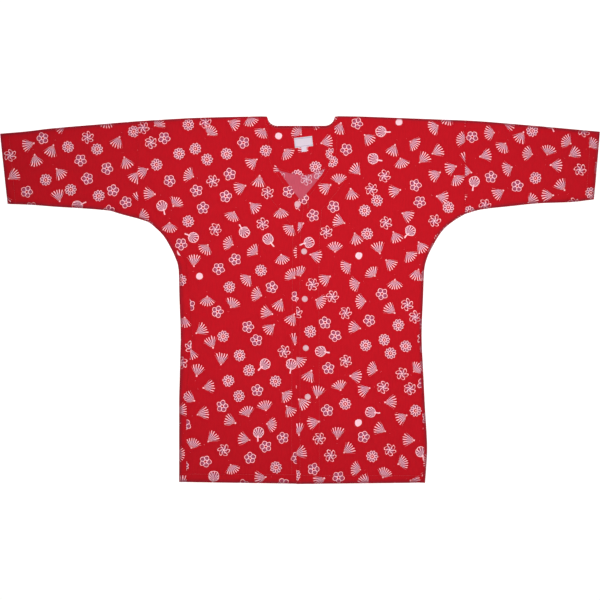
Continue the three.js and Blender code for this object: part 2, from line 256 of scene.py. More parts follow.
EDGE_TURNS = np.array([0.5, 0.6, 0.72, 0.86, 1])  # round a joined edge
EDGE_REACHES = np.array([0, 0.1, 0.3, 0.8, ROUND])  # beside a free edge


def edge_cloth(place, inward, joined, up):
    """The first columns of a panel: a quarter turn towards the other panel where joined is 1, and
    level cloth with a softly rounded edge where it is 0."""
    turns = EDGE_TURNS if up > 0 else 1 - EDGE_TURNS
    bent, lean, _ = rounded(place, inward, turns, EDGE_REACHES)
    level = place[:, None] + inward[:, None] * EDGE_REACHES[:, None]
    soft = SOFT * (1 - EDGE_REACHES / ROUND) ** 6
    out, facing, cut = flat_cloth(level, (TOP if up > 0 else 0) - up * soft, up)
    share = joined[:, None, None]
    return out + share * (bent - out), unit(facing + share * (lean - facing)), cut


def quads(grid):
    """The quadrangles between the rows and columns of a grid of vertex numbers."""
    return np.stack([grid[:-1, :-1], grid[:-1, 1:], grid[1:, 1:], grid[1:, :-1]], -1).reshape(-1, 4)


def shell(out, facing, thickness, cut, edge_shade, ring=False, open_from=None):
    """The vertices, faces, cut, slots and painted edge shade of a wall: its right side is the grid out, and
    its wrong side lies a thickness behind that against facing. open_from leaves the first column's edge open
    from that row on, and ring joins the last column to the first."""
    rows, columns = out.shape[:2]
    count = rows * columns
    vertices = np.concatenate([out.reshape(-1, 3), (out - facing * thickness[..., None]).reshape(-1, 3)])
    width = columns + 1 if ring else columns
    across = np.arange(width)
    vertex = np.arange(rows)[:, None] * columns + across % columns
    chart = np.arange(rows)[:, None] * width + across

    def rim(line, behind):
        return np.stack([line[:-1], line[:-1] + behind, line[1:] + behind, line[1:]], -1)

    faces = [quads(vertex), quads(vertex)[:, ::-1] + count]
    charts = [quads(chart), quads(chart)[:, ::-1]]
    borders = [(slice(0, 1), slice(None), 1), (slice(-1, None), slice(None), -1)]
    if not ring:
        borders += [(slice(None, open_from), slice(0, 1), -1), (slice(None), slice(-1, None), 1)]
    for rows_of, columns_of, way in borders:
        faces.append(rim(vertex[rows_of, columns_of].ravel()[::way], count))
        charts.append(rim(chart[rows_of, columns_of].ravel()[::way], 0))
    slots = np.zeros(sum(map(len, faces)), int)
    slots[len(faces[0]) : 2 * len(faces[0])] = 1
    cut = cut.reshape(-1, 2)[np.concatenate(charts)]
    return vertices, np.concatenate(faces), cut, slots, np.tile(edge_shade.ravel(), 2)


def outward(vertices, faces):
    """1 where a part's faces point outwards, and -1 where they point inwards: the sign of its volume,
    which is the sum over both triangles of each quad of the triple product of their corners."""
    a, b, c, d = np.moveaxis((vertices - vertices.mean(0))[faces], 1, 0)
    volume = np.sum(a * np.cross(b, c)) + np.sum(a * np.cross(c, d))
    return 1 if volume > 0 else -1


def solid(name, parts, materials):
    """One closed mesh of parts (vertices, quads, cut, slots, painted edge shade), in metres, at the origin.
    The painted edge shade is kept as a point attribute. Each part's faces are turned outwards, and doubled
    vertices are merged."""
    offsets = np.cumsum([0] + [len(part[0]) for part in parts[:-1]])
    ways = [outward(*part[:2]) for part in parts]
    vertices = np.concatenate([part[0] for part in parts]) / 1000
    faces = np.concatenate([part[1][:, ::way] + offset for part, way, offset in zip(parts, ways, offsets)])
    cut = np.concatenate([part[2][:, ::way] for part, way in zip(parts, ways)]) / 1000
    slots = np.concatenate([part[3] for part in parts])
    mesh = bpy.data.meshes.new(name)
    mesh.vertices.add(len(vertices))
    mesh.vertices.foreach_set("co", vertices.ravel())
    mesh.loops.add(faces.size)
    mesh.loops.foreach_set("vertex_index", faces.ravel())
    mesh.polygons.add(len(faces))
    mesh.polygons.foreach_set("loop_start", np.arange(len(faces)) * 4)
    mesh.polygons.foreach_set("material_index", slots)
    mesh.uv_layers.new(name="cut").data.foreach_set("uv", cut.ravel())
    edge_shade = np.concatenate([part[4] for part in parts])
    mesh.attributes.new("edge_shade", "FLOAT", "POINT").data.foreach_set("value", edge_shade)
    mesh.update(calc_edges=True)
    edit = bmesh.new()
    edit.from_mesh(mesh)
    bmesh.ops.remove_doubles(edit, verts=edit.verts, dist=1e-7)
    edit.to_mesh(mesh)
    edit.free()
    mesh.polygons.foreach_set("use_smooth", [True] * len(mesh.polygons))
    piece = bpy.data.objects.new(name, mesh)
    bpy.context.scene.collection.objects.link(piece)
    for material in materials:
        mesh.materials.append(material)
    return piece


def linear(code):
    """An sRGB hex colour as linear RGBA."""
    parts = [int(code[i : i + 2], 16) / 255 for i in (1, 3, 5)]
    return (*[c / 12.92 if c <= 0.04045 else ((c + 0.055) / 1.055) ** 2.4 for c in parts], 1)


def feed(node, inputs):
    """Sets a node's inputs, each to a value or to another node's output."""
    for socket, value in inputs.items():
        if isinstance(value, bpy.types.NodeSocket):
            node.id_data.links.new(value, node.inputs[socket])
        else:
            node.inputs[socket].default_value = value


def add(tree, kind, inputs=(), output=0, **settings):
    """Adds a node, sets its properties and its inputs, and returns one of its outputs. The inputs are
    by place in a list or by name or place in a dict."""
    node = tree.nodes.new("ShaderNode" + kind)
    for name, value in settings.items():
        setattr(node, name, value)
    feed(node, inputs if isinstance(inputs, dict) else dict(enumerate(inputs)))
    return node.outputs[output]


def new_material(name):
    """A new material with its node tree and its shader."""
    material = bpy.data.materials.new(name)
    material.use_nodes = True
    return material, material.node_tree, material.node_tree.nodes["Principled BSDF"]


# The print is a toss of folding fans, wide and narrow, blossoms, chrysanthemums, pinwheels, round
# fans and discs, in that order here, one in each cell of a square lattice. Each is a leaf round a
# pivot. angle is half its opening in degrees, and pivot how far the pivot lies below the motif's
# middle. radius and inner are its outer and inner edge and fill the edge of its tint, all from the
# pivot. ribs is how many lines would go all round, width how wide they are, start where they begin,
# ragged how unevenly they end, and twist how far they turn over each millimetre. scallop is how deep
# the edge dips at each rib, hub the solid disc at the pivot, disc 1 where the edge is a circle round
# the middle, stick the length of a handle, and rim 1 where the edge is outlined. What is left out is 0.
MOTIFS = [
    dict(share=0.22, angle=56, pivot=10, radius=19, inner=5, fill=14, ribs=24, width=1.7, start=1.5,
         ragged=4, hub=1.3),
    dict(share=0.3, angle=38, pivot=12, radius=22.5, inner=6, fill=16.5, ribs=26, width=1.7, start=1.5,
         ragged=5, hub=1.4),
    dict(share=0.16, angle=220, radius=11.5, inner=2.8, fill=9, ribs=5, width=1.6, start=3,
         scallop=0.3, rim=1),
    dict(share=0.14, angle=220, radius=11, inner=4.4, fill=10, ribs=10, width=1.5, start=4,
         scallop=0.24, hub=1.5, rim=1),
    dict(share=0.08, angle=220, radius=12, fill=7, ribs=6, width=1.6, twist=0.07, scallop=0.42,
         hub=1.6, rim=1),
    dict(share=0.06, angle=220, pivot=8, radius=10, fill=14, ribs=18, width=1.5, hub=1.4, disc=1,
         stick=9, rim=1),
    dict(share=0.04, angle=220, radius=6.2, fill=6.2, ribs=1, width=1, start=9, hub=6.2, rim=1),
]
FULL = dict(angle=240, pivot=30, radius=30, inner=30, fill=30, ribs=50, width=4, start=30, ragged=10,
            twist=0.2, scallop=1, hub=30, disc=1, stick=30, rim=1)
CELL = 57  # side of a lattice cell
STRAY = 8  # how far a motif may lie from the middle of its cell
LINE = 1.2  # width of an outline
PRINT_TURN = math.radians(17)  # from the cloth's grain to the lattice
WOBBLE = 1.6  # how far the hand-drawn lines wander
RIB_SHARE = 0.17  # the most that half a rib's width may be of the space from rib to rib
STICK_HALF = 1.2  # half the width of a handle

toss = bpy.data.node_groups.new("tossed motifs", "ShaderNodeTree")
for label, direction, kind in (
    ("Place", "INPUT", "NodeSocketVector"),
    ("Seed", "INPUT", "NodeSocketFloat"),
    ("Line", "OUTPUT", "NodeSocketFloat"),
    ("Tint", "OUTPUT", "NodeSocketFloat"),
):
    toss.interface.new_socket(label, in_out=direction, socket_type=kind)
given = toss.nodes.new("NodeGroupInput").outputs
wander = add(toss, "TexNoise", {"Vector": given["Place"], "Scale": 0.11, "Detail": 1.0}, output=1)
wander = add(toss, "VectorMath", [wander, (WOBBLE * 2, WOBBLE * 2, 0), (-WOBBLE, -WOBBLE, 0)],
             operation="MULTIPLY_ADD")
drawn = add(toss, "VectorMath", [given["Place"], wander], operation="ADD")
scaled = add(toss, "VectorMath", [drawn, (1 / CELL, 1 / CELL, 0)], operation="MULTIPLY")
cell = add(toss, "VectorMath", [scaled], operation="FLOOR")
within = add(toss, "VectorMath", [scaled], operation="FRACTION")
chance = add(toss, "TexWhiteNoise", {"Vector": cell, "W": given["Seed"]}, output=1, noise_dimensions="4D")
other_seed = add(toss, "Math", [given["Seed"], 0.37], operation="ADD")
choice = add(toss, "TexWhiteNoise", {"Vector": cell, "W": other_seed}, noise_dimensions="4D")
stray = add(toss, "VectorMath", [chance, (2 * STRAY, 2 * STRAY, 0), (-STRAY, -STRAY, 0)],
            operation="MULTIPLY_ADD")
centred = add(toss, "VectorMath", [within, (CELL, CELL, 0), (-CELL / 2, -CELL / 2, 0)],
              operation="MULTIPLY_ADD")
moved = add(toss, "VectorMath", [centred, stray], operation="SUBTRACT")
spin = add(toss, "SeparateXYZ", [chance], output=2)
spin = add(toss, "Math", [spin, 2 * math.pi], operation="MULTIPLY")
local = add(toss, "VectorRotate", {"Vector": moved, "Angle": spin}, rotation_type="Z_AXIS")

# Each motif's numbers come out of colour ramps with hard steps, as shares of their full values.
drawing = {}
for names in (("angle", "pivot", "radius"), ("inner", "fill", "ribs"), ("width", "start", "ragged"),
              ("twist", "scallop", "hub"), ("disc", "stick", "rim")):
    rgb = add(toss, "ValToRGB", [choice])
    ramp = rgb.node.color_ramp
    ramp.interpolation = "CONSTANT"
    begin = 0
    for number, motif in enumerate(MOTIFS):
        stop = ramp.elements[number] if number < 2 else ramp.elements.new(begin)
        stop.position = begin
        stop.color = (*[motif.get(name, 0) / FULL[name] for name in names], 1)
        begin += motif["share"]
    for name, share in zip(names, add(toss, "SeparateXYZ", [rgb]).node.outputs):
        drawing[name] = add(toss, "Math", [share, FULL[name]], operation="MULTIPLY")

# The rest is arithmetic in named steps on the motif's numbers, on plain numbers and on earlier steps.
# leaf, outline, rib, hub and ink, and the steps that begin with in or past, end up above 0 inside
# what they name and below 0 outside it. ink is what is drawn, and in fill what is tinted.
drawing["x"], drawing["y"] = add(toss, "SeparateXYZ", [local]).node.outputs[:2]
drawing["below"] = add(toss, "Math", [0, drawing["pivot"]], operation="SUBTRACT")
pivot = add(toss, "CombineXYZ", [0, drawing["below"], 0])
from_pivot = add(toss, "VectorMath", [local, pivot], output=1, operation="DISTANCE")
from_middle = add(toss, "VectorMath", [local], output=1, operation="LENGTH")
drawing["from pivot"] = from_pivot
drawing["measured"] = add(toss, "Mix", {0: drawing["disc"], 2: from_pivot, 3: from_middle})
drawing["uneven"] = add(toss, "TexNoise", {"Vector": given["Place"], "Scale": 0.33})
drawing["grain"] = add(toss, "TexNoise", {"Vector": given["Place"], "Scale": 0.9, "Detail": 2.0})
for name, operation, *inputs in (
    ("rise", "SUBTRACT", "y", "below"),
    ("bearing", "ARCTAN2", "x", "rise"),
    ("turned", "MULTIPLY_ADD", "twist", "from pivot", "bearing"),
    ("phase", "MULTIPLY", "turned", "ribs"),
    ("phase", "MULTIPLY", "phase", 1 / (2 * math.pi)),
    ("lobe", "MULTIPLY", "phase", math.pi),
    ("lobe", "SINE", "lobe"),
    ("lobe", "ABSOLUTE", "lobe"),
    ("dip", "SUBTRACT", 1, "lobe"),
    ("dip", "MULTIPLY", "dip", "scallop"),
    ("edge", "SUBTRACT", 1, "dip"),
    ("edge", "MULTIPLY", "edge", "radius"),
    ("in edge", "SUBTRACT", "edge", "measured"),
    ("in inner", "SUBTRACT", "from pivot", "inner"),
    ("opening", "MULTIPLY", "angle", math.pi / 180),
    ("aside", "ABSOLUTE", "bearing"),
    ("in sector", "SUBTRACT", "opening", "aside"),
    ("in sector", "MULTIPLY", "in sector", "from pivot"),
    ("leaf", "MINIMUM", "in edge", "in inner"),
    ("leaf", "MINIMUM", "leaf", "in sector"),
    ("to edge", "ABSOLUTE", "leaf"),
    ("outline", "MULTIPLY_ADD", "rim", LINE / 2 + 0.3, -0.3),
    ("outline", "SUBTRACT", "outline", "to edge"),
    ("off rib", "PINGPONG", "phase", 0.5),
    ("pitch", "DIVIDE", "from pivot", "ribs"),
    ("off rib", "MULTIPLY", "off rib", "pitch"),
    ("off rib", "MULTIPLY", "off rib", 2 * math.pi),
    ("narrow", "MULTIPLY", "pitch", RIB_SHARE * 2 * math.pi),
    ("rib", "MULTIPLY", "width", 0.5),
    ("rib", "MINIMUM", "rib", "narrow"),
    ("rib", "SUBTRACT", "rib", "off rib"),
    ("uneven", "SUBTRACT", "uneven", 0.5),
    ("past edge", "MULTIPLY_ADD", "uneven", "ragged", "in edge"),
    ("past edge", "ADD", "past edge", LINE / 2),
    ("past start", "SUBTRACT", "from pivot", "start"),
    ("past sector", "ADD", "in sector", LINE / 2),
    ("rib", "MINIMUM", "rib", "past edge"),
    ("rib", "MINIMUM", "rib", "past start"),
    ("rib", "MINIMUM", "rib", "past sector"),
    ("hub", "SUBTRACT", "hub", "from pivot"),
    ("beside stick", "ABSOLUTE", "x"),
    ("in stick", "SUBTRACT", STICK_HALF, "beside stick"),
    ("under", "ADD", "radius", "y"),
    ("stick end", "ADD", "under", "stick"),
    ("stick top", "SUBTRACT", 0, "under"),
    ("in stick", "MINIMUM", "in stick", "stick end"),
    ("in stick", "MINIMUM", "in stick", "stick top"),
    ("ink", "MAXIMUM", "outline", "rib"),
    ("ink", "MAXIMUM", "ink", "hub"),
    ("ink", "MAXIMUM", "ink", "in stick"),
    ("grain", "MULTIPLY_ADD", "grain", 0.5, -0.25),
    ("ink", "ADD", "ink", "grain"),
    ("in fill", "SUBTRACT", "fill", "from pivot"),
    ("in fill", "MINIMUM", "in fill", "leaf"),
):
    inputs = [drawing[value] if isinstance(value, str) else value for value in inputs]
    drawing[name] = add(toss, "Math", inputs, operation=operation)
returned = toss.nodes.new("NodeGroupOutput").inputs
for name, step, soft in (("Line", "ink", 0.12), ("Tint", "in fill", 0.3)):
    edge = add(toss, "MapRange", {"Value": drawing[step], "From Min": -soft, "From Max": soft})
    toss.links.new(edge, returned[name])


def printed_cotton(name, ground, tint, line, roughness):
    """Matt plain-woven cotton with the tossed print: the ground, then two layers of motifs, each a
    tint with lines over it. The second layer's cells lie over the corners of the first's."""
    material, tree, shader = new_material(name)
    cut = add(tree, "UVMap", uv_map="cut")
    grain = add(tree, "Mapping", {"Vector": cut, "Scale": (1000,) * 3})
    place = add(tree, "VectorRotate", {"Vector": grain, "Angle": PRINT_TURN}, rotation_type="Z_AXIS")
    colour = linear(ground)
    for seed, shift in ((1.0, 0), (4.0, CELL / 2)):
        layer = tree.nodes.new("ShaderNodeGroup")
        layer.node_tree = toss
        layer.inputs["Seed"].default_value = seed
        shifted = add(tree, "VectorMath", [place, (shift, shift, 0)], operation="ADD")
        tree.links.new(shifted, layer.inputs["Place"])
        colour = add(tree, "Mix", {0: layer.outputs["Tint"], 6: colour, 7: linear(tint)}, output=2,
                     data_type="RGBA")
        colour = add(tree, "Mix", {0: layer.outputs["Line"], 6: colour, 7: linear(line)}, output=2,
                     data_type="RGBA")
    # Painted shade: the cloth takes on a deeper red beside the shirt's rolled outer edges, where they turn
    # away from the light, as much as the mesh attribute gives.
    edge_shade = add(tree, "Attribute", output=2, attribute_name="edge_shade")
    colour = add(tree, "Mix", {0: edge_shade, 6: colour, 7: linear(EDGE_SHADE_RED)}, output=2, data_type="RGBA")
    # Slubs: thicker warp threads that take the dye a little differently. Real ones are under 1 mm
    # wide and are drawn 3 mm wide and 14 mm long, so that they show from far off.
    threads = add(tree, "Mapping", {"Vector": grain, "Scale": (0.35, 0.07, 1)})
    slub = add(tree, "TexNoise", {"Vector": threads, "Scale": 1.0, "Detail": 3.0})
    shade = add(tree, "MapRange", {"Value": slub, "From Min": 0.3, "From Max": 0.7,
                                   "To Min": 0.94, "To Max": 1.05})
    colour = add(tree, "VectorMath", {0: colour, "Scale": shade}, operation="SCALE")
    # Plain weave: warp and weft threads 0.5 mm apart, one wave along each way, darker in between.
    warp, weft = [add(tree, "TexWave", {"Vector": grain, "Scale": 0.625, "Distortion": 0.6}, output=1,
                      bands_direction=way) for way in "XY"]
    weave = add(tree, "Math", [warp, weft], operation="ADD")
    shade = add(tree, "MapRange", {"Value": weave, "From Max": 2.0, "To Min": 0.93, "To Max": 1.07})
    colour = add(tree, "VectorMath", {0: colour, "Scale": shade}, operation="SCALE")
    cloth_height = add(tree, "Math", [slub, 1.5, weave], operation="MULTIPLY_ADD")
    bump = add(tree, "Bump", {"Strength": 0.35, "Distance": 0.0001, "Height": cloth_height})
    feed(shader, {"Base Color": colour, "Normal": bump, "Roughness": roughness,
                  "Specular IOR Level": 0.12, "Sheen Weight": 0.06, "Sheen Roughness": 0.4})
    return material


right_side = printed_cotton("printed cotton", "#bb0d1c", "#a64664", "#ffccd6", 0.85)
wrong_side = printed_cotton("wrong side of printed cotton", "#c04e60", "#bd6a7e", "#dcb6c4", 0.92)


BACK_COLUMNS = np.concatenate([[0.01], np.linspace(0, 1, 40)[1:-1], [0.985, 0.995, 1]])
FOLD_TURNS = np.linspace(0, 1, 11)
WRAP_SHARES = np.array([0.15, 0.4, 0.65, 0.85, 0.95, 1])


def apart(out, place):
    """How far each point of a section lies from that section's place, seen from above."""
    return np.linalg.norm(out[..., :2] - place[:, None], axis=-1)


def back_half(half):
    """One half of the back: section k runs from its middle, neck or shoulder edge out to the fold, round
    it on a half circle, and in on top as far as wrap."""
    k = sections
    start, joined = place_at(half["back"], k), column_at(half["back"], "joined", k)
    fold, inward = place_at(half["fold"], k), inward_at(half, k)
    along = unit(fold - start)
    from_edge = np.where(joined[:, None] > 0, [[0, -1]], along)
    edges = edge_cloth(start, from_edge, joined, -1)
    begin, end = start + from_edge * ROUND, fold + inward * ROUND
    level = begin[:, None] + (end - begin)[:, None] * BACK_COLUMNS[:-1, None]
    bottom = flat_cloth(level, 0.0, -1)
    around = rounded(fold, inward, FOLD_TURNS, ROUND * (1 - np.pi * FOLD_TURNS))
    wrap = (column_at(half["fold"], "wrap", k) - CLOSED)[:, None] - ROUND
    reach = ROUND + wrap * WRAP_SHARES
    on_top = fold[:, None] + inward[:, None] * reach[..., None]
    from_seam = reach[:, -1:] - reach
    height = TOP + LOFT * ease(reach / LOFT_REACH) + SEAM_DIP * groove(from_seam, 1.0)
    top = flat_cloth(on_top, height, 1)
    cut = fold[:, None] - inward[:, None] * (np.pi * ROUND - 2 * ROUND + reach)[..., None]
    out, facing, cut = beside(edges, bottom, around, (top[0], top[1], cut))
    above_hem = out[..., 1] - out[-1:, :, 1]
    turned = band(above_hem, HEM)
    soft = SOFT * ease(1 - above_hem / 0.8)
    out = out - facing * soft[..., None]
    out[..., 2] += HEM_RISE * turned * (facing[..., 2] > 0.5)
    from_start = apart(out, start) + ELSEWHERE * (k[:, None] > BACK_HALVES_MEET)
    # Painted shade beside the outer fold, the neck and shoulder edges and the hem, where the rolled cloth
    # turns away from the light.
    edge_shade = painted_edge_shade(apart(out, fold), from_start, above_hem)
    return out, facing, CLOTH + TURNED * turned, cut, edge_shade


back_grids = [back_half(half) for half in (RIGHT, LEFT)]
meeting = int(np.searchsorted(sections, BACK_HALVES_MEET - 1e-6))
back = solid(
    "back_panel",
    [shell(*grid, open_from=meeting + 1) for grid in back_grids],
    [right_side, wrong_side],
)
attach(back, "root")
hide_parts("back")

# ---------------------------------------------------------------------------------------- fronts
# Two fronts of the same cotton, each with its upper sleeve cut on. Each has a turned facing along
# its free edge and a turned hem, both stitched through. The left one lies on the right one.
PLACKET_RAMP = 24  # over which the left front comes down beside the right one's edge
NECK_V = 200  # y of the neck's lowest point
LAYER = 1.3  # how much higher the left front lies on the right one
FACING = 47  # width of the turned facing along a front's edge
EDGE_STITCH = 7  # from a front's edge to its line of stitches
RIGHT_FRONT = SHOULDER["right"] + headed(
    "k x y flat corner",
    (6, -60, 340, 0),
    (7, -54.5, 282, 8),
    (8, -42, 259, 16),
    (10, 0, NECK_V, PLACKET),
    (12, 29, 160, PLACKET, True),
    (LAST, 29, HEM_MIDDLE, PLACKET),
)
LEFT_FRONT = SHOULDER["left"] + headed(
    "k x y flat corner",
    (6, 67, 300, 0),
    (7, 50.4, 262, 8),
    (8, 33, 237, 16),
    (10, 2, NECK_V, PLACKET, True),
    (12, -6, 120, PLACKET),
    (13, -7, 50, PLACKET),
    (LAST, -7, HEM_MIDDLE, PLACKET),
)
# Distances from the free edge and from the side seam, closer together at stitches and steps.
NEAR = np.array([2.6, 3.6, 4.6, 5.4, 6.2, 7, 7.8, 8.6, 10, 12, 14.5, 17, 20, 24, 28, 32, 36.6, 40, 43,
                 45.5, 47, 48.5, 51, 55, 60.6])
FAR = np.array([45, 40, 35, 30, 26, 22, 18, 15, 12, 10, 8.6, 7.4, 5.6, 4, 2.8, 2, 1.4, 0.9, 0.5, 0.2, 0])
BETWEEN = np.linspace(0, 1, 34)[1:-1]

# Soft ridges and troughs left from folding and laying out, each along a bowed line from (x0, y0) to
# (x1, y1). bow is how far its middle stands aside, width how far it reaches, and rise its height.
CREASES = headed(
    "x0 y0 x1 y1 bow width rise",
    (-268, 104, -140, 214, 9, 14, -0.8),
    (-246, 58, -168, 132, -6, 11, 0.7),
    (-214, 340, -160, 236, 8, 15, 0.6),
    (-300, 332, -262, 206, -10, 17, -0.6),
    (-176, -36, -192, -212, 12, 20, 0.8),
    (-112, 96, -84, -118, -10, 16, -0.6),
    (-92, -150, -128, -342, 8, 18, 0.7),
    (-222, -232, -150, -296, 5, 12, -0.6),
    (260, 112, 152, 188, -8, 13, -0.9),
    (236, 52, 176, 96, 5, 10, 0.6),
    (150, 346, 196, 222, -9, 17, 0.7),
    (292, 336, 270, 222, 8, 14, -0.5),
    (184, 16, 158, -176, -13, 19, 0.7),
    (88, 70, 112, -92, 8, 15, -0.7),
    (98, -168, 84, -330, -7, 17, 0.6),
    (214, -196, 174, -322, 10, 14, -0.7),
    (-366, 334, -470, 236, -9, 14, 0.7),
    (-352, 196, -452, 262, 7, 12, -0.6),
    (-492, 318, -566, 262, 6, 11, -0.5),
    (362, 200, 474, 284, -9, 13, -0.7),
    (372, 338, 448, 268, 6, 12, 0.6),
    (500, 216, 560, 300, 7, 12, 0.5),
)


def relief(place):
    """How far the creases lift the cloth at a place: across each one's line a bell curve, a third wider
    on one side, that fades towards the line's ends. Small waves of 60 to 150 mm are added."""
    x, y = place[..., 0], place[..., 1]
    total = 0.12 * np.sin(x / 23 + 1.3 * np.sin(y / 41)) + 0.14 * np.sin(y / 19 + 1.7 * np.sin(x / 57))
    for crease in CREASES:
        start = np.array([crease["x0"], crease["y0"]])
        run = np.array([crease["x1"], crease["y1"]]) - start
        length = np.hypot(*run)
        share = (place - start) @ run / length**2
        aside = (place - start) @ np.array([-run[1], run[0]]) / length
        aside = aside - crease["bow"] * 4 * share * (1 - share)
        width = crease["width"] * np.where(aside > 0, 1.33, 1)
        fade = ease(1.6 - 3.2 * np.abs(share - 0.5))
        total = total + crease["rise"] * np.exp(-((aside / width) ** 2)) * fade
    return total


def pucker(along, off):
    """Small gathers along a line of stitches, about 10 mm apart and uneven, fading with distance off."""
    wave = np.sin(along / 1.6 + 1.9 * np.sin(along / 11)) * (0.6 + 0.4 * np.sin(along / 37))
    return 0.13 * wave * np.exp(-np.abs(off) / 5)


def travelled(line):
    """How far along a line of places each place is."""
    return np.concatenate([[0], np.cumsum(np.linalg.norm(np.diff(line, axis=0), axis=1))])


def front_panel(half, rows, seam_x, lift, shift):
    """A front: section k runs from its free or shoulder edge straight to the side seam. lift gives how
    far what lies underneath raises it, and shift moves its print."""
    k = sections
    start, joined = place_at(rows, k), column_at(rows, "joined", k)
    wide_flat, wrap = column_at(rows, "flat", k)[:, None], column_at(half["fold"], "wrap", k)
    end = place_at(half["fold"], k) + inward_at(half, k) * (wrap + CLOSED)[:, None]
    length = np.linalg.norm(end - start, axis=1)[:, None]
    along = (end - start) / length
    free = 1 - joined[:, None]
    edges = edge_cloth(start, np.where(joined[:, None] > 0, [[0, -1]], along), joined, 1)
    middle = NEAR[-1] + (length - FAR[0] - NEAR[-1]) * BETWEEN
    distance = np.concatenate([np.tile(NEAR, (len(k), 1)), middle, length - FAR], 1)
    level = start[:, None] + along[:, None] * distance[..., None]
    out, facing, cut = beside(edges, flat_cloth(level, TOP, 1))
    distance = np.concatenate([np.tile(EDGE_REACHES, (len(k), 1)), distance], 1)
    from_seam, above_hem = length - distance, out[..., 1] - out[-1:, :, 1]
    from_sleeve = np.abs(out[..., 0] - seam_x)
    calm = ease((distance - wide_flat) / 30) * ease(from_seam / 25) * ease((above_hem - HEM) / 25)
    calm = calm * ease(from_sleeve / 25)
    hem, turned = band(above_hem, HEM), band(distance, FACING) * free
    stitched = groove(distance - EDGE_STITCH, STITCH_WIDTH) * free
    stitched = stitched + groove(above_hem - HEM + TURN_STITCH, STITCH_WIDTH)
    gathers = pucker(travelled(start)[:, None], distance - EDGE_STITCH) * free
    gathers = gathers + pucker(out[..., 0], above_hem - HEM + TURN_STITCH)
    out[..., 2] += (
        LOFT * ease((distance - wide_flat) / LOFT_REACH) * ease((from_seam + wrap[:, None]) / LOFT_REACH)
        + lift(out)
        + relief(out[..., :2]) * calm
        + SEAM_DIP * groove(from_seam, 1.0)
        + 0.4 * groove(from_sleeve, 1.0)
        + 0.22 * band(from_seam, ALLOWANCE) * ease(above_hem / 10)
        + HEM_RISE * hem + 0.12 * turned + STITCH_DIP * stitched + gathers * ease(distance / 3)
        - SOFT * ease(1 - above_hem / 0.8)
    )
    # Painted shade beside the side fold, the shoulder edge and the hem, where the rolled cloth turns away
    # from the light.
    edge_shade = painted_edge_shade(from_seam + wrap[:, None], distance + ELSEWHERE * (k[:, None] > SHOULDER_END), above_hem)
    return out, facing, CLOTH + TURNED * np.maximum(hem, turned), cut + np.array(shift), edge_shade


def placket_lift(out):
    """The left front lies one layer higher on the right one, and comes down beside and above it."""
    beside_edge = ease((out[..., 0] - 29.3) / PLACKET_RAMP)
    above_neck = ease((out[..., 1] - NECK_V - 5) / (2 * PLACKET_RAMP))
    return LAYER * (1 - beside_edge) * (1 - above_neck)


right_grid = front_panel(RIGHT, RIGHT_FRONT, SEAM_RIGHT, lambda out: 0, (311, -73))
left_grid = front_panel(LEFT, LEFT_FRONT, SEAM_LEFT, placket_lift, (-207, 419))
for name, grid in (("front_right", right_grid), ("front_left", left_grid)):
    front = solid(name + "_panel", [shell(*grid)], [right_side, wrong_side])
    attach(front, "root")
    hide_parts(name)

# --------------------------------------------------------------------------------------- sleeves
# Each long sleeve is lengthened by a piece of the same cotton, folded along its upper edge and sewn
# into a tube along its lower one. Its cuff is open, with a turned hem.
CUFF = 20  # width of the cuff's hem
# k is how far along its upper fold a section lies from the sleeve seam, top_ and low_ its two folds.
RIGHT_SLEEVE = headed(
    "k top_x top_y low_x low_y",
    (0, SEAM_RIGHT - CLOSED, 358, SEAM_RIGHT - CLOSED, 162.8),
    (38, -362, 355, -360, 172.3),
    (61, -385, 353, -383, 178.8),
    (176, -500, 343.2, -496, 187),
    (228, -552, 337, -542, 190.5),
    (276, -600, 333, -585, 192),
)
LEFT_SLEEVE = headed(
    "k top_x top_y low_x low_y",
    (0, SEAM_LEFT + CLOSED, 359.5, SEAM_LEFT + CLOSED, 171.8),
    (34, 364, 357.5, 362, 180.8),
    (90, 420, 353, 418, 187.3),
    (160, 490, 347, 486, 193.8),
    (215, 545, 342, 538, 195.5),
    (270, 600, 337, 588, 201),
)
SEAM_STEPS = np.array([0, 0.25, 0.6, 1.1, 1.8, 2.8, 4.2, 6, 8, 9.2, 10.4, 12, 14.5])
CUFF_STEPS = HEM_STEPS * (CUFF / HEM)


